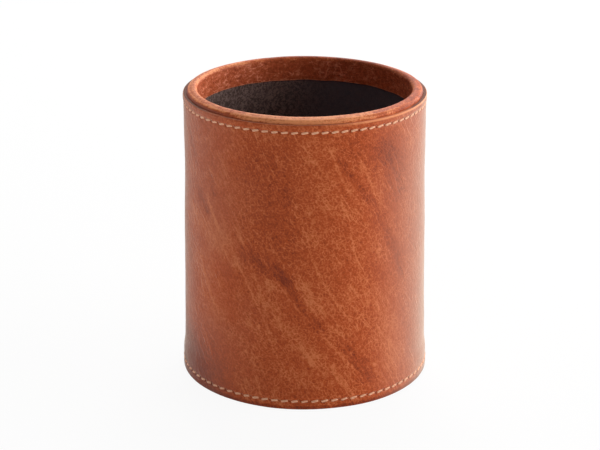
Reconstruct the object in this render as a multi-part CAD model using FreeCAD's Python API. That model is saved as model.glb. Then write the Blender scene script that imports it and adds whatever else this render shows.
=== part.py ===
import FreeCAD, Part
import math
import os

from FreeCAD import Rotation, Vector

# A round pen cup. A stiff board tube and a base board are wrapped outside in a stitched
# leather panel, bound at the rim with a folded leather band and lined with suede. It stands
# on a felt pad. Nothing on it moves.
# Millimetres, +Z up. The origin is the centre of the underside, and the seam of the wrap is
# at the back, towards +Y. Angles go round from the front, -Y, towards +X.

# Whole cup
overall_height = 102.0
glue_line = 0.05             # film of adhesive between two glued layers
butt_clearance = 0.2         # between two layers that meet edge to edge
flat_error = 0.1             # rounds are made of flats that stray no further than this

# Board tube
core_radius = 39.9           # outside
core_wall = 1.85
core_edge_round = 0.34       # outside, where the binding folds over

# Base, from the table upwards
pad_thickness = 1.0
pad_inset = 0.6              # edge of the felt, inside the edge of the cover
cover_leather = 1.6
cover_bend_radius = 0.8
hem_height = 4.6             # the cover's hem at full thickness, up the foot of the tube
hem_pared_height = 5.0       # and then pared down to the filling over this height
board_thickness = 3.0
board_clearance = 0.1

# Lining
lining_suede = 0.5
lining_top_below_rim = 1.5   # its upper edge, behind the facing of the binding
floor_suede = 0.8
floor_clearance = 0.3

# Rim binding: facing inside, crown over the tube, skirt outside and under the wrap
binding_leather = 0.75
crown_slope = 17.0           # the tube's upper edge, and the crown over it, fall outward by this
crown_outer_round = 0.9
facing_depth = 8.6
skirt_depth = 9.0            # below the upper edge of the wrap
binding_joint_angle = 192.0
binding_joint_gap = 0.25

# Leather wrap, and what lies flat under it above the hem: the skirt of the binding, pared
# down, with a card sheet and a seam tape as thick as the skirt
wrap_leather = 1.4
wrap_foot_height = 0.15      # lower edge above the table
rim_reveal = 1.95            # rim of the binding above the upper edge of the wrap
wrap_edge_round = 0.22       # outer corner of the upper edge
filling = 0.4
seam_angle = 180.0
seam_gap = 0.3
seam_tape_width = 12.0

# Sewing thread, in rows parallel to the four edges of the wrap
thread_width = 0.65
thread_height = 0.42
thread_taper = 0.16          # each side slopes in by this, towards the top of the thread
thread_clearance = 0.02
stitch_length = 2.55
stitch_pitch = 3.33
stitch_slant = 12.0          # each stitch climbs to the right by this angle
top_row_inset = 2.55         # row below the upper edge of the wrap
bottom_row_inset = 2.7       # row above the lower edge of the wrap
seam_row_inset = 3.0         # rows on both sides of the seam

# Worked out from the sizes above
full_turn = 360.0
right_angle = 90.0
bore_radius = core_radius - core_wall
cover_bottom = pad_thickness + glue_line
cover_top = cover_bottom + cover_leather
cover_radius = core_radius + glue_line + cover_leather
core_bottom = cover_top + glue_line
core_top = overall_height - binding_leather - glue_line
board_top = core_bottom + board_thickness
hem_top = core_bottom + hem_height
hem_end = hem_top + hem_pared_height
wrap_top = overall_height - rim_reveal
skirt_end = wrap_top - skirt_depth
top_row = wrap_top - top_row_inset
bottom_row = wrap_foot_height + bottom_row_inset


def angle_of(width, radius):
    """Angle in degrees that a width takes round the cup."""
    return math.degrees(width / radius)


def bend_points(before, corner, after, rounding):
    """Points on the round that is tangent to both sides of a corner, to join by flats."""
    back = (before - corner).normalize()
    ahead = (after - corner).normalize()
    half = back.getAngle(ahead) / 2
    centre = corner + (back + ahead).normalize() * (rounding / math.sin(half))
    first = corner + back * (rounding / math.tan(half)) - centre
    last = corner + ahead * (rounding / math.tan(half)) - centre
    swing = first.getAngle(last)
    flats = math.ceil(swing / (2 * math.acos(1 - flat_error / rounding)))
    points = []
    for step in range(flats + 1):
        turn = swing * step / flats
        spoke = first * math.sin(swing - turn) + last * math.sin(turn)
        points.append(centre + spoke / math.sin(swing))
    return points


def profile(corners):
    """Face within corners of (radius, height, rounding)."""
    points = [Vector(radius, 0, height) for radius, height, rounding in corners]
    outline = []
    for index, corner in enumerate(points):
        rounding = corners[index][2]
        if rounding:
            after = points[(index + 1) % len(points)]
            outline += bend_points(points[index - 1], corner, after, rounding)
        else:
            outline.append(corner)
    return Part.Face(Part.makePolygon(outline + outline[:1]))


def turned(corners, sweep=full_turn, middle=0.0):
    """Solid that a profile sweeps out round the cup, with the sweep's middle at an angle."""
    face = profile(corners)
    centre = Vector(0, 0, 0)
    upwards = Vector(0, 0, 1)
    face.rotate(centre, upwards, middle - sweep / 2 - right_angle)
    return face.revolve(centre, upwards, sweep)


def disc(radius, bottom, top):
    return turned([
        (0, bottom, 0),
        (radius, bottom, 0),
        (radius, top, 0),
        (0, top, 0),
    ])


def wall_line(thickness):
    """Points up a surface of the wrap, a thickness outside what the wrap is glued to."""
    layers = (
        (wrap_foot_height, cover_leather),
        (hem_top, cover_leather),
        (hem_end, filling),
        (wrap_top, filling),
    )
    inside = core_radius + 2 * glue_line
    return [(inside + layer + thickness, height) for height, layer in layers]


def wall_radius(height):
    """Outside radius of the wrap at a height."""
    line = wall_line(wrap_leather)
    for (low_radius, low), (high_radius, high) in zip(line, line[1:]):
        if height <= high:
            break
    return low_radius + (high_radius - low_radius) * (height - low) / (high - low)


def crown_fall(radius):
    """How much lower the tube's upper edge, and the crown over it, lie than at the bore."""
    return (radius - bore_radius) * math.tan(math.radians(crown_slope))


def make_core_tube():
    return turned([
        (core_radius, core_bottom, 0),
        (core_radius, core_top - crown_fall(core_radius), core_edge_round),
        (bore_radius, core_top, 0),
        (bore_radius, core_bottom, 0),
    ])


def make_base_board():
    return disc(bore_radius - board_clearance, core_bottom, board_top)


def make_base_cover():
    return turned([
        (0, cover_bottom, 0),
        (cover_radius, cover_bottom, cover_bend_radius),
        (cover_radius, hem_top, 0),
        (core_radius + glue_line + filling, hem_end, 0),
        (core_radius + glue_line, hem_end, 0),
        (core_radius + glue_line, cover_top, 0),
        (0, cover_top, 0),
    ])


def make_base_pad():
    return disc(cover_radius - pad_inset, 0, pad_thickness)


def make_lining_sleeve():
    outside = bore_radius - glue_line
    inside = outside - lining_suede
    bottom = board_top + glue_line
    top = overall_height - lining_top_below_rim
    return turned([
        (outside, bottom, 0),
        (outside, top, 0),
        (inside, top, 0),
        (inside, bottom, 0),
    ])


def make_lining_floor():
    bottom = board_top + glue_line
    edge = bore_radius - glue_line - lining_suede - floor_clearance
    return disc(edge, bottom, bottom + floor_suede)


def make_rim_binding():
    facing_back = bore_radius - glue_line - lining_suede - glue_line
    facing_front = facing_back - binding_leather
    facing_end = overall_height - facing_depth
    under_crown = overall_height - binding_leather
    skirt_back = core_radius + glue_line
    skirt_front = skirt_back + filling
    return turned([
        (skirt_back, skirt_end, 0),
        (skirt_front, skirt_end, 0),
        (skirt_front, overall_height - crown_fall(skirt_front), crown_outer_round),
        (bore_radius, overall_height, 0),
        (facing_front, overall_height, bore_radius - facing_front),
        (facing_front, facing_end, 0),
        (facing_back, facing_end, 0),
        (facing_back, under_crown, 0),
        (bore_radius, under_crown, 0),
        (skirt_back, under_crown - crown_fall(skirt_back), core_edge_round),
    ], full_turn - angle_of(binding_joint_gap, core_radius), binding_joint_angle - full_turn / 2)


def make_filler(sweep, middle):
    """Part of the layer between the hem and the skirt, under the wrap."""
    inside = core_radius + glue_line
    outside = inside + filling
    bottom = hem_end + butt_clearance
    top = skirt_end - butt_clearance
    return turned([
        (inside, bottom, 0),
        (outside, bottom, 0),
        (outside, top, 0),
        (inside, top, 0),
    ], sweep, middle)


def make_filler_sheet():
    opening = seam_tape_width + 2 * butt_clearance
    return make_filler(full_turn - angle_of(opening, core_radius), seam_angle - full_turn / 2)


def make_seam_tape():
    return make_filler(angle_of(seam_tape_width, core_radius), seam_angle)


def make_outer_wrap():
    outside = [(radius, height, 0) for radius, height in wall_line(wrap_leather)]
    inside = [(radius, height, 0) for radius, height in wall_line(0)]
    radius, height, square = outside[-1]
    outside[-1] = (radius, height, wrap_edge_round)
    return turned(outside + inside[::-1], full_turn - angle_of(seam_gap, core_radius),
                  seam_angle - full_turn / 2)


def make_stitch(angle, height, slant, reach):
    """Stitch on the wrap, slanted from level, with its ends a reach above and below."""
    low = wall_radius(height - reach)
    high = wall_radius(height + reach)
    lean = (high - low) / (2 * reach)
    spots = [height - reach, height]
    spots += [bend for radius, bend in wall_line(wrap_leather) if abs(bend - height) < reach]
    seat = max(wall_radius(spot) - lean * (spot - height) for spot in spots) + thread_clearance
    bearing = math.radians(angle)
    outward = Vector(math.sin(bearing), -math.cos(bearing), 0)
    sideways = Vector(math.cos(bearing), math.sin(bearing), 0)
    climbing = (Vector(0, 0, 1) + outward * lean).normalize()
    slope = math.radians(slant)
    along = sideways * math.cos(slope) + climbing * math.sin(slope)
    off_wall = sideways.cross(climbing)
    half_length = stitch_length / 2
    half_width = thread_width / 2
    stitch = Part.makeWedge(-half_length, 0, -half_width,
                            thread_taper - half_width, thread_taper - half_length,
                            half_length, thread_height, half_width,
                            half_width - thread_taper, half_length - thread_taper)
    stitch.Placement.Rotation = Rotation(along, off_wall, along.cross(off_wall), "XYZ")
    stitch.Placement.Base = outward * seat + Vector(0, 0, height)
    return stitch


def make_level_row(height):
    """Row round the cup. The panel is sewn flat, so both level rows have equal counts."""
    margin = seam_gap / 2 + seam_row_inset
    middle = (wrap_foot_height + wrap_top) / 2
    row_length = 2 * math.pi * wall_radius(middle) - 2 * margin
    count = round(row_length / stitch_pitch)
    sweep = full_turn - 2 * angle_of(margin, wall_radius(height))
    first = seam_angle - full_turn / 2 - sweep / 2
    step = sweep / count
    return Part.makeCompound([
        make_stitch(first + (index + 0.5) * step, height, stitch_slant, thread_width / 2)
        for index in range(count)
    ])


def make_seam_row(side):
    """Row up one side of the seam, from the bottom row to the top row."""
    count = round((top_row - bottom_row) / stitch_pitch)
    step = (top_row - bottom_row) / count
    stitches = []
    for index in range(count):
        height = bottom_row + (index + 0.5) * step
        margin = angle_of(seam_gap / 2 + seam_row_inset, wall_radius(height))
        stitches.append(make_stitch(seam_angle + side * margin, height,
                                    right_angle - stitch_slant, stitch_length / 2))
    return Part.makeCompound(stitches)


def main():
    os.makedirs("parts", exist_ok=True)
    pieces = {
        "core_tube": make_core_tube(),
        "base_board": make_base_board(),
        "base_cover": make_base_cover(),
        "base_pad": make_base_pad(),
        "lining_sleeve": make_lining_sleeve(),
        "lining_floor": make_lining_floor(),
        "rim_binding": make_rim_binding(),
        "filler_sheet": make_filler_sheet(),
        "seam_tape": make_seam_tape(),
        "outer_wrap": make_outer_wrap(),
        "top_stitches": make_level_row(top_row),
        "bottom_stitches": make_level_row(bottom_row),
        "seam_stitches_left": make_seam_row(1),
        "seam_stitches_right": make_seam_row(-1),
    }
    for name, shape in pieces.items():
        shape.exportStep("parts/" + name + ".step")


if __name__ == "__main__":
    main()
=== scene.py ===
import functools
import math
import random

import bmesh
import bpy
from bpy.props import FloatProperty, FloatVectorProperty, IntProperty, PointerProperty
from bpy.types import NodeSocket, Operator, Panel, PropertyGroup
from mathutils import Matrix, Vector, noise


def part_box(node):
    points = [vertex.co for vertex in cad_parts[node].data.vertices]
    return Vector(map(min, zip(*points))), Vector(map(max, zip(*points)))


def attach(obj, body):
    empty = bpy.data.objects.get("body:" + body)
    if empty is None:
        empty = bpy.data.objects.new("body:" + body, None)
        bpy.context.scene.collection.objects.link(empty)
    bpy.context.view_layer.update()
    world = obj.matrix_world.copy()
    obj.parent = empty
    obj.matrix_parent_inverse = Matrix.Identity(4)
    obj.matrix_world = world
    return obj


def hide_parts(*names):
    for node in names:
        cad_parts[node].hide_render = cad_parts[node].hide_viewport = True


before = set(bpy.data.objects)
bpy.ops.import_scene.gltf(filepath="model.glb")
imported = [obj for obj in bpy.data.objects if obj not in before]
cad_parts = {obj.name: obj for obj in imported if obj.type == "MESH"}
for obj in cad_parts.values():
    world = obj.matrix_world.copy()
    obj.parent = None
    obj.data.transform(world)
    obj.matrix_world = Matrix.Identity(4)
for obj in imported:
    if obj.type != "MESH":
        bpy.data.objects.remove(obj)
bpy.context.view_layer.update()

# A leather pen cup, dressed piece by piece round its frame. Metres, +Z up. Angles are in
# radians and go round from the front, -Y, towards +X. The wrap's seam is at the back.

bl_info = {
    "name": "Leather Pen Cup",
    "version": (1, 0, 0),
    "blender": (4, 5, 0),
    "location": "3D View > Sidebar > Pen Cup",
    "description": "Stitched leather pen cup with a bound rim and a suede lining",
    "category": "Add Mesh",
}

MM = 0.001
FULL_TURN = 2 * math.pi
BODY = "root"

# Shared by the pieces. The length of hide round the cup is measured at HIDE_RADIUS.
GLUE_LINE = 0.05 * MM
SEAM_ANGLE = math.pi
RIM_JOINT_ANGLE = math.radians(192)
HIDE_RADIUS = 41.8 * MM
SWELL_GRAIN = 21 * MM


def in_rgb(name, description, default):
    return FloatVectorProperty(name=name, description=description, default=default,
                               size=3, min=0, max=1, subtype="COLOR")


def in_mm(name, description, mm):
    return FloatProperty(name=name, description=description, default=mm * MM,
                         unit="LENGTH", subtype="DISTANCE", precision=5)


def in_radians(name, description, default):
    return FloatProperty(name=name, description=description, default=default,
                         unit="ROTATION", subtype="ANGLE")


def in_watts(name, description, default):
    return FloatProperty(name=name, description=description, default=default, unit="POWER")


class PENCUP_PG_sewing(PropertyGroup):
    """Sizes of the thread and of the rows of stitches"""

    pitch: in_mm("Pitch", "Hide from one needle hole to the next", 3.33)
    length: in_mm("Stitch Length", "Thread from one needle hole to the next", 2.65)
    width: in_mm("Thread Width", "Thickness of the waxed thread", 0.78)
    sink: in_mm("Sink", "Depth that the ends of a stitch go into the hide", 0.5)
    slant: in_radians("Slant", "Climb of each stitch to the right", math.radians(12))
    raise_bottom: in_mm("Raise", "Lift of the bottom row over its groove", 0.3)
    margin: in_mm("Seam Margin", "Rows on both sides of the seam", 3.0)
    seam_gap: in_mm("Seam Gap", "Between the two cut edges of the wrap", 0.3)
    seed: IntProperty(name="Seed", description="Picks how the stitches differ", default=7)


class PENCUP_PG_hide(PropertyGroup):
    """Sizes of the leather pieces"""

    edge_round: in_mm("Edge Round", "Worn corner of the cut edges", 0.45)
    swell: in_mm("Swell", "Gentle unevenness of the wrap", 0.16)
    channel: in_mm("Channel", "Depth that a row of stitches pulls in", 0.16)
    hole: in_mm("Needle Hole", "Depth of the needle holes", 0.13)
    lean: in_mm("Lean", "Narrowing of the wrap from its hem up to its waist", 1.12)
    waist: in_mm("Waist Height", "Where the wrap stops narrowing", 75)
    foot_flare: in_mm("Foot Flare", "Step where the wrap comes off the hem", 0.36)
    foot_spread: in_mm("Foot Spread", "Last widening at the foot", 0.28)
    lip_flare: in_mm("Lip Flare", "How far the upper edge stands off", 0.22)
    thickness: in_mm("Binding", "Leather of the rim binding", 0.75)
    facing: in_mm("Facing", "Depth of the binding inside the cup", 8.6)
    crown_slope: in_radians("Crown Slope", "Fall of the rim's top outwards", math.radians(17))
    shoulder: in_mm("Shoulder", "Round from the rim's top to its skirt", 1.4)
    crease: in_mm("Crease", "Depth of the creased line along the rim", 0.09)


class PENCUP_PG_colours(PropertyGroup):
    """Colours of the finishes"""

    wrap_dark: in_rgb("Wrap, Dark", "Grain and pulled-up patches", (0.225, 0.030, 0.005))
    wrap_mid: in_rgb("Wrap", "Body of the wrap", (0.47, 0.075, 0.011))
    wrap_pale: in_rgb("Wrap, Pale", "Veins and rubbed places", (0.66, 0.18, 0.06))
    rim_dark: in_rgb("Rim, Dark", "Mottling of the binding", (0.28, 0.045, 0.011))
    rim_mid: in_rgb("Rim", "Body of the binding", (0.56, 0.113, 0.031))
    rim_pale: in_rgb("Rim, Pale", "Stretched crown", (0.93, 0.345, 0.14))
    facing: in_rgb("Facing", "Body of the binding inside the cup", (0.49, 0.097, 0.031))
    facing_pale: in_rgb("Facing, Pale", "Its veins", (0.80, 0.27, 0.15))
    burnish: in_rgb("Burnish", "Cut edges of the wrap", (0.36, 0.085, 0.024))
    # Colour of the painted shade in the needle holes
    hole: in_rgb("Needle Hole", "Painted shade in the needle holes",
                 (0.17, 0.033, 0.010))
    # Pale colour of the painted sheen on the sides of the wrap
    painted_sheen: in_rgb("Painted Sheen", "Pale colour painted in as sheen on the wrap", (0.45, 0.36, 0.28))
    suede: in_rgb("Suede", "Lining", (0.088, 0.060, 0.054))
    suede_pale: in_rgb("Suede, Brushed", "Where its nap lies over", (0.23, 0.155, 0.135))
    felt: in_rgb("Felt", "Base pad", (0.045, 0.032, 0.026))
    thread: in_rgb("Thread", "Waxed thread", (1.0, 0.54, 0.33))
    board: in_rgb("Board", "Tube and base board", (0.33, 0.25, 0.17))
    card: in_rgb("Card", "Filler under the wrap", (0.55, 0.47, 0.34))
    tape: in_rgb("Tape", "Woven tape behind the seam", (0.60, 0.54, 0.43))
    cover: in_rgb("Cover", "Dark leather under the base", (0.06, 0.028, 0.018))


class PENCUP_PG_stage(PropertyGroup):
    """Light, floor and camera"""

    key: in_watts("Key", "Wide soft light from the right", 8.6)
    behind: in_watts("Behind", "Soft light from above and behind", 8.5)
    edge: in_watts("Edge", "Soft light from behind right", 4.0)
    left: in_watts("Left", "Low card on the left", 1.6)
    front: in_watts("Front", "Low card in front", 1.6)
    ambient: FloatProperty(name="Ambient", description="Light from all round", default=0.145)
    camera_distance: in_mm("Camera Distance", "From the cup's axis", 625.8)
    camera_height: in_mm("Camera Height", "Above the table", 279.3)
    camera_pitch: in_radians("Camera Pitch", "Tilt down", 0.34981)
    camera_turn: in_radians("Camera Turn", "Turn to the left", 0.00266)
    lens: FloatProperty(name="Lens", description="Focal length on a 36 mm sensor, in mm",
                        default=114.0)


# Shapes

def place(angle, radius, height):
    return Vector((radius * math.sin(angle), -radius * math.cos(angle), height))


def angle_of(spot):
    return math.atan2(spot.x, -spot.y)


@functools.cache
def reach(node):
    """Radius, lowest and highest point of a piece of the frame."""
    low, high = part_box(node)
    return high.x, low.z, high.z


def ease(value, start, end):
    """0 before start, 1 after end, and smooth between them."""
    share = min(max((value - start) / (end - start), 0), 1)
    return share * share * (3 - 2 * share)


def bell(distance, width):
    return math.exp(-(distance / width) ** 2)


def waves(spot, grain, seed=0):
    """Smooth noise from -1 to 1, with waves of about a grain."""
    return noise.noise(spot / grain + Vector((seed, seed, seed)))


def spaced(start, end, spacing):
    """Steps from start up to, but not with, end, at most a spacing apart."""
    count = math.ceil(abs(end - start) / spacing)
    return [start + (end - start) * step / count for step in range(count)]


def rounded(centre_radius, centre_height, rounding, start, end, count):
    """Points on an arc of a section, with angles from the outward level, upwards."""
    points = []
    for step in range(count + 1):
        turn = start + (end - start) * step / count
        points.append((centre_radius + rounding * math.cos(turn),
                       centre_height + rounding * math.sin(turn)))
    return points


def turned(outline, steps, joint=None, gap=0.0):
    """Section carried round the cup, as a grid bent round the axis. Its points are (radius,
    height), with a share of cut edge as a third value where there is one. With a joint the
    shape ends in flat faces beside a gap. Each point keeps its length along the section, and
    its cut."""
    on_axis = outline[0][0] == 0
    if not on_axis:
        outline = outline + outline[:1]
    lengths = [0.0]
    for point, next_point in zip(outline, outline[1:]):
        lengths.append(lengths[-1] + math.dist(point[:2], next_point[:2]))
    shape = bmesh.new()
    section = shape.verts.layers.float.new("section")
    cut = shape.verts.layers.float.new("cut")
    start = 0.0 if joint is None else joint + gap / 2
    bmesh.ops.create_grid(shape, x_segments=steps, y_segments=len(outline) - 1, size=0.5)
    for vert in shape.verts:
        row = round((vert.co.y + 0.5) * (len(outline) - 1))
        radius, height, *cut_share = outline[row]
        vert[section] = lengths[row]
        vert[cut] = cut_share[0] if cut_share else 0.0
        vert.co = place(start + (FULL_TURN - gap) * (vert.co.x + 0.5), radius, height)
    bmesh.ops.remove_doubles(shape, verts=shape.verts, dist=0.001 * MM)
    if joint is not None:
        ends = [edge for edge in shape.edges if edge.is_boundary]
        bmesh.ops.holes_fill(shape, edges=ends, sides=0)
    bmesh.ops.recalc_face_normals(shape, faces=shape.faces)
    return shape


def lay_hide(shape, joint, upwards):
    """Stores where each point lies on the flat hide: metres round the cup, and upwards."""
    hide = shape.verts.layers.float_vector.new("hide")
    for vert in shape.verts:
        angle = angle_of(vert.co)
        if angle < joint - FULL_TURN:
            angle += FULL_TURN
        vert[hide] = Vector((angle * HIDE_RADIUS, upwards(vert), 0))


def finished(name, shape, finish, node):
    """Object of a finished shape, which stands for a node of the frame."""
    mesh = bpy.data.meshes.new(name)
    shape.to_mesh(mesh)
    shape.free()
    mesh.polygons.foreach_set("use_smooth", [True] * len(mesh.polygons))
    mesh.set_sharp_from_angle(angle=math.radians(55))
    mesh.materials.append(finish)
    piece = bpy.data.objects.new(name, mesh)
    bpy.context.scene.collection.objects.link(piece)
    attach(piece, BODY)
    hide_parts(node)
    return piece


# The rows of stitches

class Rows:
    """Where the rows run on the wrap."""

    def __init__(self, sewing):
        self.bottom = self.middle_of("bottom_stitches") + sewing.raise_bottom
        self.top = self.middle_of("top_stitches")
        self.margin = sewing.seam_gap / 2 + sewing.margin
        half_sweep = math.pi - self.margin / HIDE_RADIUS
        self.count = round(2 * half_sweep * HIDE_RADIUS / sewing.pitch)
        self.first_hole = -half_sweep
        self.step = 2 * half_sweep / self.count
        self.seam_count = round((self.top - self.bottom) / sewing.pitch)
        self.seam_step = (self.top - self.bottom) / self.seam_count

    def middle_of(self, node):
        _, low, high = reach(node)
        return (low + high) / 2

    def hole_distance(self, angle, radius):
        """Along a level row, to the nearest needle hole."""
        holes = (angle - self.first_hole) / self.step
        return (holes - round(holes)) * self.step * radius


def wrap_skin(height, hide, rows):
    """Outside radius of the wrap at a height, without its unevenness."""
    hem = 6.5 * MM
    above_hem = 11 * MM
    spread_height = 9 * MM
    narrowing = min(max((height - hem) / (hide.waist - hem), 0), 1)
    radius = reach("outer_wrap")[0] - hide.lean * narrowing
    radius -= hide.foot_flare * ease(height, hem, above_hem)
    radius += hide.foot_spread * max(1 - height / spread_height, 0)
    radius += hide.lip_flare * ease(height, rows.top - 0.3 * MM, rows.top + 1.2 * MM)
    for row in (rows.bottom, rows.top):
        radius -= hide.channel * bell(height - row, 0.75 * MM)
    return radius


def wrap_outline(hide, rows):
    """Section of the wrap, from the inner corner at its foot and outwards."""
    _, foot, top = reach("outer_wrap")
    cover_radius, _, hem_end = reach("base_cover")
    near_row = 1.3 * MM
    hem_top = hem_end - 5.0 * MM
    worn = hide.edge_round
    heights = spaced(foot + worn, rows.bottom - near_row, 0.5 * MM)
    heights += spaced(rows.bottom - near_row, rows.bottom + near_row, 0.2 * MM)
    heights += spaced(rows.bottom + near_row, hem_end, 0.8 * MM)
    heights += spaced(hem_end, rows.top - near_row, 1.5 * MM)
    heights += spaced(rows.top - near_row, rows.top + near_row, 0.2 * MM)
    heights += spaced(rows.top + near_row, top - worn, 0.3 * MM)
    outline = [(cover_radius + GLUE_LINE, foot)]
    skin = wrap_skin(foot, hide, rows) - worn
    outline += rounded(skin, foot + worn, worn, -math.pi / 2, 0, 4)[:-1]
    outline += [(wrap_skin(height, hide, rows), height) for height in heights]
    skin = wrap_skin(top, hide, rows) - worn
    outline += rounded(skin, top - worn, worn, 0, math.pi / 2, 4)
    inside = reach("filler_sheet")[0] + GLUE_LINE
    outline += [(skin - 0.25 * MM, top), (inside, top)]
    outline += [(inside, height) for height in spaced(top, hem_end, 12 * MM)[1:]]
    outline += [(inside, hem_end), (cover_radius + GLUE_LINE, hem_top)]
    return [(radius, height, float(not foot + 0.1 * MM <= height <= top - 0.05 * MM))
            for radius, height in outline]


class PENCUP_OT_wrap(Operator):
    """Leather panel bent round the cup, with its cut edges butted at the back"""

    bl_idname = "pencup.wrap"
    bl_label = "Leather Wrap"

    def execute(self, context):
        hide = context.scene.pencup_hide
        rows = Rows(context.scene.pencup_sewing)
        gap = context.scene.pencup_sewing.seam_gap / HIDE_RADIUS
        outline = wrap_outline(hide, rows)
        columns = 10 * rows.count + 18
        shape = turned(outline, columns, SEAM_ANGLE - FULL_TURN, gap)
        lay_hide(shape, SEAM_ANGLE, lambda vert: vert.co.z)
        inside = reach("filler_sheet")[0] + 0.5 * MM
        ripple = 0.35 * hide.swell
        pucker = 0.05 * MM
        seam_dip = 0.10 * MM
        for vert in shape.verts:
            spot = vert.co
            radius = spot.xy.length
            share = ease(radius, inside, inside + 0.5 * MM)
            if not share:
                continue
            angle = angle_of(spot)
            move = hide.swell * waves(spot, SWELL_GRAIN) + ripple * waves(spot, 7 * MM, 3)
            for row in (rows.bottom, rows.top):
                beside = spot.z - row
                if abs(beside) < 1.5 * MM:
                    along = rows.hole_distance(angle, radius)
                    move -= hide.hole * bell(along, 0.24 * MM) * bell(beside, 0.36 * MM)
                    lip = bell(abs(beside) - 0.9 * MM, 0.4 * MM)
                    move += pucker * bell(along, 1.0 * MM) * lip
            seam_distance = (math.pi - abs(angle)) * radius
            move -= seam_dip * bell(seam_distance, 0.5 * MM)
            move -= seam_dip * bell(seam_distance - rows.margin, 0.7 * MM)
            vert.co += place(angle, move * share, 0)
        cut = shape.verts.layers.float["cut"]
        for face in shape.faces:
            if all(vert[cut] == 1.0 for vert in face.verts):
                face.material_index = 1
        colours = context.scene.pencup_colours
        piece = finished("leather_wrap", shape, wrap_finish(colours, rows),
                         "outer_wrap")
        piece.data.materials.append(cut_edge_finish(colours))
        return {"FINISHED"}


def rim_radii():
    """Of the facing's front, the facing's back and the ridge over the bore of the tube."""
    bore = reach("lining_sleeve")[0] + GLUE_LINE
    facing_back = bore - 0.6 * MM
    return facing_back - 0.75 * MM, facing_back, bore


def rim_outline(hide):
    """Section of the binding, from the raw edge of its facing, over the crown and down the
    skirt, and back along its hidden side."""
    skirt_radius, skirt_end, top = reach("rim_binding")
    facing_front, facing_back, bore = rim_radii()
    inner_round = bore - facing_front
    facing_end = top - hide.facing
    fall = math.tan(hide.crown_slope)
    raw = 0.2 * MM
    outline = [(facing_back, facing_end, 1.0), (facing_front + raw, facing_end, 1.0),
               (facing_front + 0.06 * MM, facing_end + 0.06 * MM, 0.6)]
    heights = spaced(facing_end + raw, facing_end + 1.4 * MM, 0.3 * MM)
    heights += spaced(facing_end + 1.4 * MM, top - inner_round, 0.6 * MM)
    outline += [(facing_front, height) for height in heights]
    outline += rounded(bore, top - inner_round, inner_round, math.pi, math.pi / 2, 12)
    shoulder_radius = skirt_radius - hide.shoulder
    shoulder_height = (top - (shoulder_radius - bore) * fall
                       - hide.shoulder / math.cos(hide.crown_slope))
    shoulder = rounded(shoulder_radius, shoulder_height, hide.shoulder,
                       math.pi / 2 - hide.crown_slope, 0, 8)
    outline += [(radius, top - (radius - bore) * fall)
                for radius in spaced(bore, shoulder[0][0], 0.2 * MM)[1:]]
    outline += shoulder
    outline += [(skirt_radius, height)
                for height in spaced(shoulder_height, top - 3 * MM, 0.4 * MM)[1:]]
    skirt_back = reach("core_tube")[0] + GLUE_LINE
    under_crown = top - hide.thickness
    under_shoulder = under_crown - (skirt_back - bore) * fall
    corner = 0.3 * MM
    outline += [(skirt_radius, skirt_end), (skirt_back, skirt_end),
                (skirt_back, under_shoulder - corner), (skirt_back - corner, under_shoulder),
                (bore, under_crown), (facing_back, under_crown)]
    return outline


class PENCUP_OT_rim(Operator):
    """Leather band folded over the rim: facing inside, crown on top, skirt under the wrap"""

    bl_idname = "pencup.rim"
    bl_label = "Rim Binding"

    def execute(self, context):
        hide = context.scene.pencup_hide
        gap = 0.06 * MM / HIDE_RADIUS
        shape = turned(rim_outline(hide), 720, RIM_JOINT_ANGLE - FULL_TURN, gap)
        section = shape.verts.layers.float["section"]
        lay_hide(shape, RIM_JOINT_ANGLE, lambda vert: vert[section])
        top = reach("rim_binding")[2]
        facing_front, facing_back, bore = rim_radii()
        facing_end = top - hide.facing
        deepest = math.radians(-75)
        second_crease = 0.3 * hide.crease
        for vert in shape.verts:
            spot = vert.co
            radius = spot.xy.length
            around = Vector((angle_of(spot) * bore, 0, 0))
            wander = 0.12 * MM * waves(around, 14 * MM, 5)
            cover = top - hide.thickness / 2 - max(radius - bore, 0) * math.tan(hide.crown_slope)
            on_crown = ease(spot.z, cover, cover + 0.2 * MM)
            lift = 0.05 * MM * (waves(spot, 7 * MM, 11) - 0.7)
            deep = 0.3 + 0.7 * bell(angle_of(spot) - deepest, math.radians(50))
            lift -= deep * hide.crease * bell(radius - bore - wander, 0.22 * MM)
            lift -= second_crease * bell(radius - bore - 1.1 * MM + wander, 0.4 * MM)
            gathers = waves(around + Vector((0, 0, radius / 5)), 0.8 * MM, 2)
            lift += 0.04 * MM * gathers * bell(radius - bore + 0.6 * MM, 0.5 * MM)
            move = Vector((0, 0, lift * on_crown))
            if radius < facing_back - 0.05 * MM:
                edge = 1 - ease(spot.z, facing_end, facing_end + 2.5 * MM)
                sag = 0.30 * MM * waves(around, 9 * MM, 9) + 0.12 * MM * waves(around, 3 * MM, 4)
                move.z += sag * edge
                bulge = ease(radius, facing_back - 0.1 * MM, facing_front + 0.1 * MM)
                bulge *= 1 - ease(spot.z, top - 1.6 * MM, top - 0.8 * MM)
                move -= place(angle_of(spot), 0.10 * MM * waves(spot, 6 * MM, 1) * bulge, 0)
            vert.co += move
        finish = rim_finish(context.scene.pencup_colours)
        finished("bound_rim", shape, finish, "rim_binding")
        return {"FINISHED"}


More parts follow.
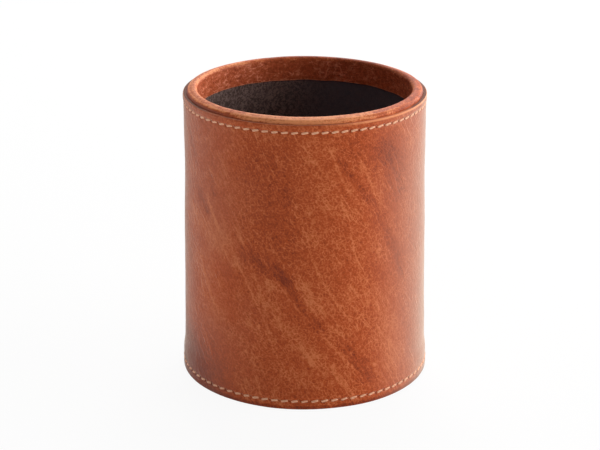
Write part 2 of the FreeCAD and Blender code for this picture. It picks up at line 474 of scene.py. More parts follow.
class PENCUP_OT_lining(Operator):
    """Suede sleeve and suede floor"""

    bl_idname = "pencup.lining"
    bl_label = "Suede Lining"

    def execute(self, context):
        finish = suede_finish(context.scene.pencup_colours)
        outside, bottom, top = reach("lining_sleeve")
        inside = outside - 0.5 * MM
        outline = [(outside, bottom), (outside, top)]
        outline += [(inside, height) for height in spaced(top, bottom, 2 * MM)]
        outline.append((inside, bottom))
        sleeve = turned(outline, 256)
        for vert in sleeve.verts:
            if vert.co.xy.length < outside - 0.2 * MM:
                move = 0.10 * MM * waves(vert.co, 9 * MM, 2)
                vert.co += place(angle_of(vert.co), move, 0)
        finished("suede_sleeve", sleeve, finish, "lining_sleeve")

        edge, bottom, top = reach("lining_floor")
        worn = 0.3 * MM
        outline = [(0.0, bottom), (edge, bottom)]
        outline += rounded(edge - worn, top - worn, worn, 0, math.pi / 2, 4)
        outline += [(radius, top) for radius in spaced(edge - worn, 0, 1.8 * MM)[1:]]
        outline.append((0.0, top))
        floor = turned(outline, 160)
        for vert in floor.verts:
            if vert.co.z > top - 0.2 * MM:
                vert.co.z += 0.08 * MM * (waves(vert.co, 11 * MM, 6) - 1)
        finished("suede_floor", floor, finish, "lining_floor")
        return {"FINISHED"}


class PENCUP_OT_pad(Operator):
    """Felt pad that the cup stands on"""

    bl_idname = "pencup.pad"
    bl_label = "Felt Pad"

    def execute(self, context):
        edge, bottom, top = reach("base_pad")
        worn = 0.25 * MM
        outline = [(0.0, bottom)]
        outline += [(radius, bottom) for radius in spaced(4 * MM, edge - worn, 3 * MM)]
        outline += rounded(edge - worn, bottom + worn, worn, -math.pi / 2, 0, 4)
        outline += rounded(edge - worn, top - worn, worn, 0, math.pi / 2, 4)
        outline.append((0.0, top))
        pad = turned(outline, 240)
        for vert in pad.verts:
            radius = vert.co.xy.length
            if radius > edge - 0.6 * MM:
                move = 0.12 * MM * (waves(vert.co, 1.6 * MM, 4) - 1)
                vert.co += place(angle_of(vert.co), move, 0)
        finished("felt_pad", pad, felt_finish(context.scene.pencup_colours), "base_pad")
        return {"FINISHED"}


def make_strand(shape, sewing):
    """One thread along X, with Y out of the hide, beaten flat, whose ends go down into needle
    holes."""
    strand = shape.verts.layers.float_vector.new("strand")
    bmesh.ops.create_cone(shape, cap_ends=True, segments=8, radius1=0.5, radius2=0.5, depth=1.0)
    long_edges = [edge for edge in shape.edges
                  if abs(edge.verts[0].co.z - edge.verts[1].co.z) > 0.5]
    bmesh.ops.subdivide_edges(shape, edges=long_edges, cuts=7)
    beaten = 0.62
    for vert in shape.verts:
        share = 2 * vert.co.z
        at_end = abs(share) ** 8
        around = math.atan2(vert.co.y, vert.co.x)
        thick = sewing.width / 2 * (1 - 0.10 * at_end)
        along = share * sewing.length / 2
        drop = sewing.sink * at_end
        vert[strand] = Vector((along, MM * math.cos(around), MM * math.sin(around)))
        flat = beaten * thick * math.copysign(abs(math.sin(around)) ** 0.7, math.sin(around))
        vert.co = Vector((along, flat - drop, thick * math.cos(around)))


def seat_on_wrap(angle, height, slant, lift, hide, rows):
    """Placement of a stitch on the wrap's skin."""
    step = 1.0 * MM
    low = wrap_skin(height - step, hide, rows)
    high = wrap_skin(height + step, hide, rows)
    outward = place(angle, 1, 0)
    sideways = place(angle + math.pi / 2, 1, 0)
    climbing = (Vector((0, 0, 2 * step)) + outward * (high - low)).normalized()
    along = sideways * math.cos(slant) + climbing * math.sin(slant)
    off_hide = sideways.cross(climbing)
    across = along.cross(off_hide)
    spot = place(angle, wrap_skin(height, hide, rows), height) + outward * lift
    spot += outward * hide.swell * waves(spot, SWELL_GRAIN)
    seat = Matrix((along, off_hide, across)).transposed().to_4x4()
    seat.translation = spot
    return seat


class PENCUP_OT_sewing(Operator):
    """Rows of waxed thread: one near each level edge, and one on each side of the seam"""

    bl_idname = "pencup.sewing"
    bl_label = "Stitches"

    def sew(self, context, name, node, spots):
        """Makes one row from (angle, height, slant) of each stitch."""
        sewing = context.scene.pencup_sewing
        hide = context.scene.pencup_hide
        rows = Rows(sewing)
        chance = random.Random(sewing.seed + len(name))
        shape = bmesh.new()
        make_strand(shape, sewing)
        strand = shape.verts[:]
        pattern = strand + shape.edges[:] + shape.faces[:]
        for angle, height, slant in spots:
            slant += math.radians(chance.uniform(-2.5, 2.5))
            lift = (0.02 + chance.uniform(-0.03, 0.03)) * MM
            seat = seat_on_wrap(angle, height, slant, lift, hide, rows)
            stretch = Matrix.Diagonal((chance.uniform(0.96, 1.03), 1, 1, 1))
            copy = bmesh.ops.duplicate(shape, geom=pattern)["geom"]
            verts = [part for part in copy if isinstance(part, bmesh.types.BMVert)]
            bmesh.ops.transform(shape, matrix=seat @ stretch, verts=verts)
        bmesh.ops.delete(shape, geom=strand, context="VERTS")
        bmesh.ops.recalc_face_normals(shape, faces=shape.faces)
        finish = thread_finish(context.scene.pencup_colours)
        finished(name, shape, finish, node)

    def execute(self, context):
        sewing = context.scene.pencup_sewing
        hide = context.scene.pencup_hide
        rows = Rows(sewing)
        for name, height in (("top", rows.top), ("bottom", rows.bottom)):
            spots = [(rows.first_hole + (index + 0.5) * rows.step, height, sewing.slant)
                     for index in range(rows.count)]
            self.sew(context, name + "_thread", name + "_stitches", spots)
        for name, side in (("left", 1), ("right", -1)):
            spots = []
            for index in range(rows.seam_count):
                height = rows.bottom + (index + 0.5) * rows.seam_step
                angle = SEAM_ANGLE + side * rows.margin / wrap_skin(height, hide, rows)
                spots.append((angle, height, math.pi / 2 - sewing.slant))
            self.sew(context, "seam_thread_" + name, "seam_stitches_" + name, spots)
        return {"FINISHED"}


class PENCUP_OT_inner_parts(Operator):
    """Finishes of the parts that the leather hides"""

    bl_idname = "pencup.inner_parts"
    bl_label = "Inner Parts"

    def execute(self, context):
        colours = context.scene.pencup_colours
        board = board_finish("fibre_board", colours.board)
        finishes = {
            "core_tube": board,
            "base_board": board,
            "filler_sheet": board_finish("card_sheet", colours.card),
            "seam_tape": tape_finish(colours),
            "base_cover": cover_finish(colours),
        }
        for node, finish in finishes.items():
            for place_for_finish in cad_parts[node].material_slots:
                place_for_finish.material = finish
        return {"FINISHED"}


# Finishes

PALE_SHEEN = (1.0, 0.92, 0.80, 1.0)


def toned(colour, share):
    """A colour made darker or brighter."""
    return tuple(share * part for part in colour)


class Nodes:
    """A tree of shader nodes being put together. Sizes in it are in millimetres."""

    def __init__(self, tree):
        self.tree = tree
        tree.nodes.clear()

    def add(self, kind, inputs=None, **options):
        node = self.tree.nodes.new("ShaderNode" + kind)
        for name, value in options.items():
            setattr(node, name, value)
        for name, value in (inputs or {}).items():
            if isinstance(value, NodeSocket):
                self.tree.links.new(value, node.inputs[name])
            else:
                node.inputs[name].default_value = value
        return node

    def maths(self, operation, *values):
        return self.add("Math", dict(enumerate(values)), operation=operation).outputs[0]

    def vectors(self, operation, *values):
        node = self.add("VectorMath", dict(enumerate(values)), operation=operation)
        return node.outputs["Value" if operation in ("DOT_PRODUCT", "LENGTH") else "Vector"]

    def object_mm(self):
        """Position on the piece."""
        return self.vectors("MULTIPLY", self.add("TexCoord").outputs["Object"], (1 / MM,) * 3)

    def stored_mm(self, name):
        stored = self.add("Attribute", attribute_name=name).outputs["Vector"]
        return self.vectors("MULTIPLY", stored, (1 / MM,) * 3)

    def axes(self, vector):
        return self.add("SeparateXYZ", {0: vector}).outputs[:]

    def total(self, *parts):
        return functools.reduce(functools.partial(self.maths, "ADD"), parts)

    def times(self, *parts):
        return functools.reduce(functools.partial(self.maths, "MULTIPLY"), parts)

    def greater(self, *parts):
        return functools.reduce(functools.partial(self.maths, "MAXIMUM"), parts)

    def weigh(self, base, *parts):
        """A base and, added to it, each value times its share."""
        return self.total(base, *(self.times(value, share) for value, share in parts))

    def centred(self, noise_value):
        return self.maths("SUBTRACT", noise_value, 0.5)

    def ease(self, value, start, end, low=0.0, high=1.0):
        inputs = {"Value": value, "From Min": start, "From Max": end,
                  "To Min": low, "To Max": high}
        return self.add("MapRange", inputs, interpolation_type="SMOOTHSTEP").outputs["Result"]

    def near(self, value, middle, far, close):
        """0 where a value is far off a middle, and 1 where it is close."""
        off = self.maths("ABSOLUTE", self.maths("SUBTRACT", value, middle))
        return self.ease(off, far, close)

    def ridge(self, value, width):
        """1 where a noise crosses its middle, and 0 a width away."""
        return self.near(value, 0.5, width, 0.0)

    def drawn(self, vector, stretch, lean=0.0):
        """Position for a texture drawn out along a line that leans left from upright."""
        inputs = {"Vector": vector, "Scale": (1, stretch, 1),
                  "Rotation": (0, 0, math.radians(lean))}
        return self.add("Mapping", inputs, vector_type="TEXTURE").outputs["Vector"]

    def grain(self, vector, size, detail=2.0, roughness=0.55, distortion=0.0):
        """Noise whose spots are about a size across."""
        inputs = {"Vector": vector, "Scale": 0.5 / size, "Detail": detail,
                  "Roughness": roughness, "Distortion": distortion}
        return self.add("TexNoise", inputs).outputs["Fac"]

    def cells(self, vector, size, feature="F1"):
        inputs = {"Vector": vector, "Scale": 1 / size}
        return self.add("TexVoronoi", inputs, feature=feature).outputs["Distance"]

    def warp(self, vector, size, amount):
        """Position pushed about by noise."""
        inputs = {"Vector": vector, "Scale": 0.5 / size, "Detail": 2.0}
        push = self.vectors("SUBTRACT", self.add("TexNoise", inputs).outputs["Color"], (0.5,) * 3)
        return self.vectors("MULTIPLY_ADD", push, (amount,) * 3, vector)

    def tones(self, value, *stops):
        """Colour of a value, by stops of (position, colour)."""
        node = self.add("ValToRGB", {"Fac": value})
        ramp = node.color_ramp
        for index, (position, colour) in enumerate(stops):
            stop = ramp.elements[index] if index < 2 else ramp.elements.new(position)
            stop.position = position
            stop.color = (*colour, 1.0)
        return node.outputs["Color"]

    def mix(self, share, first, second):
        """A colour that lies a share of the way from the first to the second."""
        inputs = {0: share}
        for index, colour in ((6, first), (7, second)):
            inputs[index] = colour if isinstance(colour, NodeSocket) else (*colour, 1.0)
        return self.add("Mix", inputs, data_type="RGBA").outputs[2]

    def relief(self, *layers):
        """Relief of layers one on another: each has a height from 0 to 1, and its depth."""
        inputs = {}
        for height, depth in layers:
            inputs.update({"Height": height, "Distance": depth * MM})
            inputs["Normal"] = self.add("Bump", inputs).outputs["Normal"]
        return inputs["Normal"]


class Finish(Nodes):
    """A material being put together."""

    def __init__(self, name):
        self.material = bpy.data.materials.new(name)
        self.material.use_nodes = True
        super().__init__(self.material.node_tree)

    def surface(self, colour, roughness, normal, specular, **constants):
        """The shader. Constants are named as its sockets are, with _ for a space."""
        inputs = {"Base Color": colour, "Roughness": roughness, "Normal": normal,
                  "Specular IOR Level": specular}
        inputs.update({name.replace("_", " "): value for name, value in constants.items()})
        shader = self.add("BsdfPrincipled", inputs).outputs["BSDF"]
        self.add("OutputMaterial", {"Surface": shader})
        return self.material


def streak_group():
    """Mask of one mark on the hide: a bowed line from a start to an end, in millimetres."""
    group = bpy.data.node_groups.get("hide_mark")
    if group:
        return group
    group = bpy.data.node_groups.new("hide_mark", "ShaderNodeTree")
    for name, kind in (("Hide", "Vector"), ("Start", "Vector"), ("End", "Vector"),
                       ("Bow", "Float"), ("Half Width", "Float")):
        group.interface.new_socket(name, in_out="INPUT", socket_type="NodeSocket" + kind)
    group.interface.new_socket("Mask", in_out="OUTPUT", socket_type="NodeSocketFloat")
    nodes = Nodes(group)
    given = group.nodes.new("NodeGroupInput").outputs
    run = nodes.vectors("SUBTRACT", given["End"], given["Start"])
    from_start = nodes.vectors("SUBTRACT", given["Hide"], given["Start"])
    direction = nodes.vectors("NORMALIZE", run)
    side = nodes.vectors("CROSS_PRODUCT", (0, 0, 1), direction)
    share = nodes.maths("DIVIDE", nodes.vectors("DOT_PRODUCT", from_start, direction),
                        nodes.vectors("LENGTH", run))
    rest = nodes.maths("SUBTRACT", 1.0, share)
    bow = nodes.times(share, rest, given["Bow"], 4.0)
    off = nodes.maths("SUBTRACT", nodes.vectors("DOT_PRODUCT", from_start, side), bow)
    off = nodes.maths("DIVIDE", off, given["Half Width"])
    mask = nodes.times(nodes.near(off, 0.0, 1.0, 0.0), nodes.ease(share, 0.0, 0.22),
                       nodes.ease(rest, 0.0, 0.22))
    group.links.new(mask, group.nodes.new("NodeGroupOutput").inputs["Mask"])
    return group


# Marks on the wrap: start and end as (degrees, height in mm), bow and half width in mm, and
# tone, where dark is below zero. A bow above zero is to the left of the way from start to end.
HIDE_MARKS = (
    ((13, 90), (34, 70), 0.0, 2.6, -0.12),
    ((29, 77), (56, 38), 0.0, 3.2, -0.12),
    ((-34, 57), (-3, 45), 0.0, 4.6, -0.17),
    ((-13, 51), (10, 25), 0.0, 4.0, -0.14),
    ((15, 27), (34, 5), 0.0, 4.2, -0.15),
    ((-60, 73), (-49, 63), 0.0, 2.8, -0.13),
    ((-49, 80), (-46, 70), 0.0, 2.0, -0.08),
    ((-72, 95), (-60, 79), 0.0, 2.4, -0.08),
    ((-20, 98), (-8, 45), 0.0, 15.0, -0.08),
    ((38, 98), (50, 66), 0.0, 9.0, -0.11),
    ((38, 44), (48, 6), 0.0, 9.0, 0.07),
    ((-78, 64), (-28, 54), 0.0, 9.0, 0.10),
    ((-60, 54), (-42, 24), 0.0, 12.0, 0.08),
    ((-30, 48), (12, 12), 0.0, 4.0, 0.07),
    ((-12, 12), (14, 13), 0.0, 5.0, 0.05),
    ((10, 94), (60, 82), 0.0, 10.0, -0.08),
    ((-10, 80), (-5, 69), 0.0, 2.4, -0.08),
    ((-23, 59), (6, 29), -1.5, 0.7, 0.13),
    ((3, 32), (33, 4), 0.0, 0.8, 0.13),
    ((-18, 63), (10, 30), -1.0, 0.6, 0.12),
    ((8, 33), (28, 18), 0.0, 0.7, 0.10),
    ((-34, 66), (-16, 31), 0.5, 0.8, 0.10),
    ((-39, 61), (-10, 19), 0.0, 0.8, 0.11),
    ((1, 62), (25, 29), -3.0, 0.7, 0.10),
    ((9, 95), (22, 73), 0.0, 0.8, 0.12),
    ((22, 92), (39, 64), 0.8, 0.9, 0.11),
    ((19, 74), (32, 32), -1.0, 0.7, 0.10),
    ((-7, 78), (3, 57), 0.0, 0.7, 0.09),
    ((-53, 71), (-41, 59), 0.0, 1.3, 0.15),
    ((13, 26), (31, 8), 0.8, 0.6, 0.10),
)

# How strongly each kind of mark shows
DARK_MARKS = 1.3
PALE_MARKS = 1.4


def hide_point(degrees, height):
    """Place of a mark on the flat hide, in millimetres."""
    return (math.radians(degrees) * HIDE_RADIUS / MM, height, 0)


def hide_marks(finish, hide):
    """Tone of all dark marks, and of all pale ones."""
    dark = 0.0
    pale = 0.0
    for start, end, bow, half_width, tone in HIDE_MARKS:
        inputs = {"Hide": hide, "Start": hide_point(*start), "End": hide_point(*end),
                  "Bow": bow, "Half Width": half_width}
        mask = finish.add("Group", inputs, node_tree=streak_group()).outputs["Mask"]
        if tone < 0:
            dark = finish.maths("MULTIPLY_ADD", mask, DARK_MARKS * tone, dark)
        else:
            pale = finish.maths("MULTIPLY_ADD", mask, PALE_MARKS * tone, pale)
    return dark, pale


def needle_holes(finish, along, first, pitch, across, row):
    """Mask of a row of holes, by millimetres along the row and across it."""
    shifted = finish.maths("SUBTRACT", along, first - pitch / 2)
    in_pitch = finish.maths("FLOORED_MODULO", shifted, pitch)
    return finish.times(finish.near(in_pitch, pitch / 2, 0.42, 0.12),
                        finish.near(across, row, 0.62, 0.20))


def wrap_finish(colours, rows):
    """Aniline leather: mottled tan, with grain, veins, marks and needle holes, and with painted
    sheen, highlight and shade.
    """
    finish = Finish("tan_hide")
    hide = finish.stored_mm("hide")
    around, height, _ = finish.axes(hide)
    pushed = finish.warp(hide, 5.0, 2.0)
    cloud = finish.grain(hide, 14.0, 3.0, 0.5)
    patches = finish.grain(finish.drawn(pushed, 1.6, 30), 3.0, 3.0, 0.6)
    pebbles = finish.grain(finish.drawn(pushed, 1.5, 30), 0.7, 2.0, 0.6)
    pores = finish.grain(pushed, 0.30, 1.0, 0.5)
    mesh = finish.cells(finish.warp(finish.drawn(pushed, 1.5, 28), 0.7, 0.8), 1.15,
                        "DISTANCE_TO_EDGE")
    mesh = finish.times(finish.ease(mesh, 0.16, 0.0),
                        finish.ease(patches, 0.30, 0.70, 0.45, 1.1))
    creases = finish.ridge(finish.grain(finish.drawn(pushed, 7.0, 31), 1.9, 2.0, 0.5), 0.045)
    where = finish.grain(finish.drawn(hide, 2.0, 31), 5.0, 2.0)
    creases = finish.times(creases, finish.ease(where, 0.45, 0.62))
    dark_marks, pale_marks = hide_marks(finish, finish.warp(hide, 3.0, 1.4))
    furrows = finish.times(dark_marks, finish.ease(patches, 0.32, 0.68, 0.65, 1.35))
    fine = finish.weigh(0.0, (finish.centred(pebbles), 0.55),
                        (finish.centred(pores), 0.62), (mesh, 0.24), (creases, 0.22))
    off_front = finish.maths("ABSOLUTE", finish.maths("SUBTRACT", around, 1.0))
    # Darker along the lowest 2 mm of the wrap
    foot_darkening = finish.ease(height, 2.0, 0.9)
    # Painted shade: the lower left of the wrap darkened, where it gets little light
    painted_shade_low_left = finish.times(finish.near(around, -66.0, 50.0, 16.0), finish.ease(height, 28.0, 7.0))
    tone = finish.total(finish.weigh(
        0.445, (finish.centred(cloud), 0.15), (finish.centred(patches), 0.17),
        (fine, finish.ease(off_front, 14.0, 34.0, 1.0, 0.60)),
        (foot_darkening, -0.32), (painted_shade_low_left, -0.42)), furrows, pale_marks)
    colour = finish.tones(tone, (0.12, colours.wrap_dark), (0.80, colours.wrap_pale),
                          (0.48, colours.wrap_mid))

    # Painted sheen: the right side, the lower right and patches on the left of the wrap are mixed
    # towards a pale colour in place of the light's sheen. The mask named worn is this painted
    # sheen on the left, not wear.
    painted_sheen = finish.times(finish.ease(around, 18.0, 54.0, 0.0, 0.38),
                         finish.ease(around, 115.0, 85.0),
                         finish.ease(height, 98.0, 72.0, 0.65, 1.0))
    worn = finish.times(finish.ease(around, -6.0, -40.0, 0.0, 0.08),
                        finish.ease(cloud, 0.35, 0.60))
    painted_sheen_low = finish.times(finish.ease(around, 38.0, 58.0, 0.0, 0.16),
                             finish.ease(height, 55.0, 8.0))
    colour = finish.mix(finish.total(painted_sheen, worn, painted_sheen_low), colour, colours.painted_sheen)
    top = reach("outer_wrap")[2] / MM
    # Painted highlight: the upper edge of the wrap paler on its right front, where it catches the
    # light; the mask named rubbed is this painted highlight, not wear
    rubbed = finish.times(finish.ease(height, top - 0.75, top - 0.4),
                          finish.ease(around, 4.0, 24.0), finish.ease(around, 90.0, 72.0), 0.7)
    colour = finish.mix(rubbed, colour, colours.rim_pale)

    pitch = rows.step * HIDE_RADIUS / MM
    first = rows.first_hole * HIDE_RADIUS / MM
    beside_seam = (math.pi * HIDE_RADIUS - rows.margin) / MM
    round_cup = finish.maths("ABSOLUTE", around)
    holes = finish.total(
        needle_holes(finish, around, first, pitch, height, rows.bottom / MM),
        needle_holes(finish, around, first, pitch, height, rows.top / MM),
        needle_holes(finish, height, rows.bottom / MM, rows.seam_step / MM, round_cup,
                     beside_seam))
    holes = finish.maths("MINIMUM", holes, 1.0)
    # Painted shade: the needle holes darkened towards the hole colour
    colour = finish.mix(finish.times(holes, 0.35), colour, colours.hole)
    relief = finish.relief((pebbles, 0.10), (pores, 0.03), (mesh, 0.03), (creases, 0.05),
                           (furrows, 0.35), (holes, -0.15))
    roughness = finish.ease(pebbles, 0.3, 0.7, 0.62, 0.48)
    return finish.surface(colour, roughness, relief, 0.22,
                          Sheen_Weight=1.0, Sheen_Roughness=0.3, Sheen_Tint=PALE_SHEEN)


def cut_edge_finish(colours):
    """Cut and rubbed edge of the wrap, where its fibres show."""
    finish = Finish("cut_edge")
    spot = finish.object_mm()
    across = finish.axes(spot)[0]
    layers = finish.grain(spot, 0.35, 3.0, 0.6)
    smears = finish.grain(spot, 3.0, 2.0)
    off_front = finish.maths("ABSOLUTE", across)
    # Painted light and shade: the edge lighter towards the right, where the light falls, and
    # darker at its two ends
    tone = finish.weigh(0.0, (layers, 0.55), (smears, 0.45),
                        (finish.ease(across, 4.0, 24.0), 0.25),
                        (finish.ease(off_front, 31.0, 40.0), -0.75))
    colour = finish.tones(tone, (0.3, toned(colours.burnish, 0.4)),
                          (0.72, toned(colours.burnish, 1.5)))
    return finish.surface(colour, 0.6, finish.relief((layers, 0.06)), 0.15)


def rim_finish(colours):
    """Lighter leather, stretched pale over the crown, and mottled and veined in the facing, with
    painted light and shade on the crown and skirt.
    Its section starts at the raw edge, and is the crown from about 8 to 13 mm."""
    finish = Finish("rim_hide")
    hide = finish.stored_mm("hide")
    around, length, _ = finish.axes(hide)
    pushed = finish.warp(hide, 2.5, 1.2)
    cloud = finish.grain(hide, 5.0, 3.0, 0.6)
    pebbles = finish.grain(finish.drawn(pushed, 0.6), 0.9, 3.0, 0.6)
    pores = finish.grain(pushed, 0.3, 1.0)
    blotches = finish.grain(finish.drawn(pushed, 0.45), 2.2, 2.0, 0.5)
    mottles = finish.ease(finish.grain(finish.drawn(hide, 0.4), 2.6, 1.0), 0.52, 0.66)
    facing = finish.ease(length, 8.6, 7.6)
    crown = finish.times(finish.ease(length, 7.9, 9.2), finish.ease(length, 13.6, 12.0))
    skirt = finish.ease(length, 12.0, 12.9)
    # Masks of the painted light and shade on the crown and skirt: front, right end, back, the
    # sides, and the far left end
    front = finish.near(around, 0.0, 34.0, 8.0)
    right = finish.near(around, 62.0, 50.0, 15.0)
    back = finish.greater(finish.ease(around, 88.0, 108.0), finish.ease(around, -102.0, -125.0))
    # Painted shade masks: the sides of the skirt, and the far left end of the shoulder and skirt
    ends = finish.greater(finish.near(around, -54.0, 36.0, 16.0),
                          finish.near(around, 66.0, 17.0, 5.0))
    painted_shade_left_end = finish.times(finish.near(around, -68.0, 16.0, 6.0),
                            finish.ease(length, 11.7, 12.5))
    veins = finish.grain(finish.drawn(finish.warp(hide, 3.0, 2.0), 0.6), 3.4, 2.0, 0.5)
    veins = finish.times(finish.ridge(veins, 0.026), finish.ease(cloud, 0.36, 0.52), facing)
    cut = finish.add("Attribute", attribute_name="cut").outputs["Fac"]
    raw = finish.greater(cut, finish.ease(length, 1.25, 0.85))
    tone = finish.weigh(
        0.41,
        # Crown paler: stretched leather, and painted light that makes it paler still at the front
        (crown, finish.maths("MULTIPLY_ADD", front, 0.16, 0.17)),
        # Painted highlight: a pale line along the inner ridge of the crown
        (finish.near(length, 9.0, 0.8, 0.2), 0.10),
        # Painted shade: the crown darker at the back, which faces away from the light
        (finish.times(crown, back), -0.42),
        # Painted shade: the crown toned down at the right end, where the key light falls
        # strongest
        (finish.times(crown, right), -0.24),
        (finish.times(crown, mottles), -0.12),
        # Painted shade: the skirt darker at the sides
        (finish.times(skirt, ends), -0.55),
        # Painted light: the skirt paler at the front
        (finish.times(skirt, front), 0.30),
        # Painted shade: the far left end of the shoulder and skirt darker
        (painted_shade_left_end, -0.60),
        # Painted highlight: a pale line along the outer shoulder
        (finish.near(length, 11.7, 0.5, 0.1), 0.12),
        (finish.centred(cloud), 0.60),
        (finish.centred(blotches), finish.maths("MULTIPLY_ADD", facing, 0.15, 0.45)),
        (finish.centred(pebbles), finish.maths("MULTIPLY_ADD", facing, 0.3, 0.8)),
        (finish.centred(pores), 0.60),
        (veins, 0.30),
        (raw, 0.30),
    )
    outside = finish.tones(tone, (0.10, colours.rim_dark), (0.80, colours.rim_pale),
                           (0.45, colours.rim_mid))
    inside = finish.tones(tone, (0.10, colours.rim_dark), (0.85, colours.facing_pale),
                          (0.45, colours.facing))
    relief = finish.relief((pebbles, 0.08), (pores, 0.03), (veins, 0.06))
    return finish.surface(finish.mix(facing, outside, inside), 0.52, relief,
                          0.18)


def suede_finish(colours):
    """Napped suede: fibres that lie this way and that."""
    finish = Finish("napped_suede")
    spot = finish.object_mm()
    across = finish.axes(spot)[0]
    pushed = finish.warp(spot, 3.0, 2.5)
    brushed = finish.grain(pushed, 3.0, 3.0, 0.6)
    fibres = finish.grain(pushed, 0.3, 3.0, 0.7)
    tufts = finish.grain(pushed, 0.6, 2.0, 0.6)
    nap = finish.weigh(0.0, (finish.centred(tufts), 1.9), (finish.centred(fibres), 1.8))
    tone = finish.weigh(0.5, (finish.centred(brushed), 0.35),
                        (nap, finish.ease(across, 12.0, -14.0, 0.45, 1.0)))
    colour = finish.tones(tone, (0.25, colours.suede), (0.80, colours.suede_pale))
    # Painted shade colour: the suede's right side, which lies in shade, mixed towards a cooler
    # grey
    shade_tint = tuple(part * share for part, share in zip(colours.suede, (1.15, 1.6, 2.2)))
    colour = finish.mix(finish.ease(across, -12.0, 14.0, 0.0, 0.75), colour, shade_tint)
    return finish.surface(colour, 0.95, finish.relief((tufts, 0.15), (fibres, 0.12)),
                          0.05, Sheen_Weight=0.06, Sheen_Roughness=0.4)


def felt_finish(colours):
    """Pressed wool felt."""
    finish = Finish("wool_felt")
    spot = finish.object_mm()
    fibres = finish.grain(finish.warp(spot, 0.6, 0.8), 0.25, 4.0, 0.7, 1.0)
    clumps = finish.grain(spot, 1.8, 3.0, 0.6)
    tone = finish.weigh(0.0, (fibres, 0.6), (clumps, 0.4))
    colour = finish.tones(tone, (0.30, toned(colours.felt, 0.55)),
                          (0.72, toned(colours.felt, 1.9)))
    return finish.surface(colour, 1.0, finish.relief((fibres, 0.18)),
                          0.05, Sheen_Weight=0.15, Sheen_Roughness=0.5)


def thread_finish(colours):
    """Waxed thread of three plies laid up in a twist."""
    finish = Finish("waxed_thread")
    along, across, off_hide = finish.axes(finish.stored_mm("strand"))
    plies = 3
    lay = 3.8
    turn = finish.times(finish.maths("ARCTAN2", off_hide, across), plies)
    turn = finish.total(turn, finish.times(along, FULL_TURN * plies / lay))
    ply = finish.maths("MULTIPLY_ADD", finish.maths("SINE", turn), 0.5, 0.5)
    fibres = finish.grain(finish.object_mm(), 0.12, 2.0, 0.6)
    tone = finish.weigh(0.0, (ply, 0.75), (fibres, 0.25))
    colour = finish.tones(tone, (0.05, toned(colours.thread, 0.72)), (0.55, colours.thread))
    return finish.surface(colour, 0.55, finish.relief((ply, 0.10), (fibres, 0.02)),
                          0.35)


def board_finish(name, tint):
    """Pressed fibres in a stiff board or card."""
    finish = Finish(name)
    spot = finish.object_mm()
    fibres = finish.grain(finish.drawn(spot, 3.0), 0.5, 4.0, 0.7, 0.6)
    tone = finish.weigh(0.0, (fibres, 0.7), (finish.cells(spot, 1.6), 0.3))
    colour = finish.tones(tone, (0.25, toned(tint, 0.7)), (0.75, tint))
    return finish.surface(colour, 0.85, finish.relief((fibres, 0.06)), 0.2)


def tape_finish(colours):
    """Plain-woven tape."""
    finish = Finish("woven_tape")
    across, _, up = finish.axes(finish.object_mm())
    yarns = FULL_TURN / 0.5
    weft = finish.maths("SINE", finish.times(up, yarns))
    warp = finish.maths("SINE", finish.times(across, yarns))
    weave = finish.maths("MULTIPLY_ADD", finish.times(weft, warp), 0.5, 0.5)
    colour = finish.tones(weave, (0.0, toned(colours.tape, 0.65)), (1.0, colours.tape))
    return finish.surface(colour, 0.9, finish.relief((weave, 0.08)), 0.1)


def cover_finish(colours):
    """Dark leather with a fine grain."""
    finish = Finish("dark_hide")
    spot = finish.object_mm()
    pebbles = finish.cells(finish.warp(spot, 1.0, 0.5), 0.8)
    clouds = finish.grain(spot, 6.0, 3.0)
    tone = finish.weigh(0.0, (pebbles, 0.5), (clouds, 0.5))
    colour = finish.tones(tone, (0.2, colours.cover), (0.8, toned(colours.cover, 1.8)))
    return finish.surface(colour, 0.6, finish.relief((pebbles, 0.06)), 0.3)


# Stage

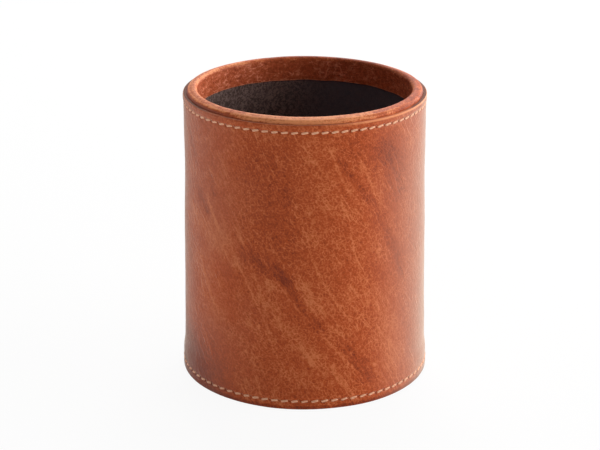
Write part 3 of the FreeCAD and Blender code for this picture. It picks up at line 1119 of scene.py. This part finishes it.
class PENCUP_OT_stage(Operator):
    """Pale floor, soft light and the camera"""

    bl_idname = "pencup.stage"
    bl_label = "Stage"

    def background_share(self, nodes):
        """1 for what the camera sees, directly or in a gloss, and 0 for the light."""
        path = nodes.add("LightPath").outputs
        return nodes.greater(*(path[f"Is {kind} Ray"]
                               for kind in ("Camera", "Glossy", "Transmission")))

    def make_floor(self):
        shape = bmesh.new()
        bmesh.ops.create_circle(shape, cap_ends=True, segments=96, radius=4.0)
        mesh = bpy.data.meshes.new("pale_floor")
        shape.to_mesh(mesh)
        shape.free()
        floor = bpy.data.objects.new("pale_floor", mesh)
        floor.location.z = -GLUE_LINE
        bpy.context.scene.collection.objects.link(floor)
        finish = Finish("pale_floor")
        lit = finish.add("BsdfDiffuse", {"Color": (0.9, 0.9, 0.9, 1)}).outputs[0]
        white = finish.add("Emission", {"Strength": 1.0}).outputs[0]
        share = finish.times(self.background_share(finish), 0.93)
        both = finish.add("MixShader", {0: share, 1: lit, 2: white}).outputs[0]
        clear = finish.add("BsdfTransparent").outputs[0]
        underneath = finish.add("NewGeometry").outputs["Backfacing"]
        both = finish.add("MixShader", {0: underneath, 1: both, 2: clear}).outputs[0]
        finish.add("OutputMaterial", {"Surface": both})
        mesh.materials.append(finish.material)

    def make_world(self, strength):
        world = bpy.data.worlds.new("studio")
        bpy.context.scene.world = world
        world.use_nodes = True
        nodes = Nodes(world.node_tree)
        level = nodes.maths("MULTIPLY_ADD", self.background_share(nodes), 1 - strength, strength)
        shader = nodes.add("Background", {"Color": (1, 1, 1, 1), "Strength": level}).outputs[0]
        nodes.add("OutputWorld", {"Surface": shader})

    def make_light(self, name, power, size, spot, target):
        lamp = bpy.data.lights.new(name, "AREA")
        lamp.shape = "RECTANGLE"
        lamp.size, lamp.size_y = size
        lamp.energy = power
        light = bpy.data.objects.new(name, lamp)
        light.location = spot
        light.visible_camera = False
        light.rotation_euler = (Vector(target) - Vector(spot)).to_track_quat("-Z", "Y").to_euler()
        bpy.context.scene.collection.objects.link(light)

    def make_camera(self, stage):
        lens = bpy.data.cameras.new("camera")
        lens.sensor_width = 36
        lens.lens = stage.lens
        lens.clip_start = 0.01
        camera = bpy.data.objects.new("camera", lens)
        camera.location = (0, -stage.camera_distance, stage.camera_height)
        camera.rotation_euler = (math.pi / 2 - stage.camera_pitch, 0, stage.camera_turn)
        bpy.context.scene.collection.objects.link(camera)
        bpy.context.scene.camera = camera

    def execute(self, context):
        stage = context.scene.pencup_stage
        middle = (0, 0, 0.06)
        self.make_floor()
        self.make_world(stage.ambient)
        self.make_light("key", stage.key, (1.0, 0.45), (0.95, -0.02, 0.36), middle)
        self.make_light("behind", stage.behind, (0.6, 0.6), (0.08, 0.72, 0.86), middle)
        self.make_light("edge", stage.edge, (0.5, 0.6), (0.70, 0.78, 0.36), middle)
        self.make_light("left", stage.left, (0.7, 0.09), (-0.95, 0.15, 0.05), middle)
        self.make_light("front", stage.front, (1.6, 0.09), (-0.35, -1.0, 0.05), middle)
        self.make_camera(stage)
        context.scene.view_settings.view_transform = "Standard"
        return {"FINISHED"}


class PENCUP_PT_panel(Panel):
    """Sizes, colours and steps of the pen cup"""

    bl_label = "Pen Cup"
    bl_space_type = "VIEW_3D"
    bl_region_type = "UI"
    bl_category = "Pen Cup"

    def draw(self, context):
        column = self.layout.column(align=True)
        for operator in OPERATORS:
            column.operator(operator.bl_idname)
        for group in GROUPS:
            values = getattr(context.scene, group)
            box = self.layout.box()
            for name in values.bl_rna.properties.keys():
                if name not in ("rna_type", "name"):
                    box.prop(values, name)


GROUPS = {
    "pencup_sewing": PENCUP_PG_sewing,
    "pencup_hide": PENCUP_PG_hide,
    "pencup_colours": PENCUP_PG_colours,
    "pencup_stage": PENCUP_PG_stage,
}
OPERATORS = (
    PENCUP_OT_wrap,
    PENCUP_OT_rim,
    PENCUP_OT_lining,
    PENCUP_OT_pad,
    PENCUP_OT_sewing,
    PENCUP_OT_inner_parts,
    PENCUP_OT_stage,
)


def register():
    for name, group in GROUPS.items():
        bpy.utils.register_class(group)
        setattr(bpy.types.Scene, name, PointerProperty(type=group))
    for operator in OPERATORS:
        bpy.utils.register_class(operator)
    bpy.utils.register_class(PENCUP_PT_panel)


def unregister():
    bpy.utils.unregister_class(PENCUP_PT_panel)
    for operator in reversed(OPERATORS):
        bpy.utils.unregister_class(operator)
    for name, group in reversed(GROUPS.items()):
        delattr(bpy.types.Scene, name)
        bpy.utils.unregister_class(group)


def main():
    register()
    bpy.ops.pencup.wrap()
    bpy.ops.pencup.rim()
    bpy.ops.pencup.lining()
    bpy.ops.pencup.pad()
    bpy.ops.pencup.sewing()
    bpy.ops.pencup.inner_parts()
    bpy.ops.pencup.stage()


if __name__ == "__main__":
    main()
